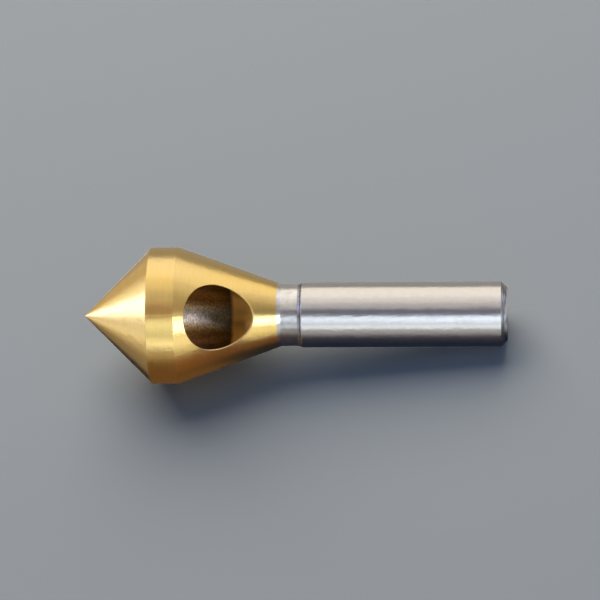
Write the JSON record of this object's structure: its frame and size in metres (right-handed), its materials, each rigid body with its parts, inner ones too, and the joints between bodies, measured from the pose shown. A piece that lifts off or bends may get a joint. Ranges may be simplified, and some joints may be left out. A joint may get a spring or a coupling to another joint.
{
  "type": "countersink bit",
  "caption": "Countersink and deburring bit: gold-coated 90 degree cone head with a slanting chip hole through it, on a short neck and a plain round steel shank.",
  "frame": {"origin": "middle of the shank's flat end face, where the bit stands", "axes": "+Z along the turning axis from the shank to the point; the chip hole's axis lies in the YZ plane and climbs from its rear mouth on the -Y side to the cutting mouth on the +Y side"},
  "size_m": [0.021, 0.021, 0.065],
  "materials": {
    "coated_steel": "brushed"
  },
  "bodies": {
    "root": {"countersink_bit": "coated_steel"}
  },
  "joints": []
}
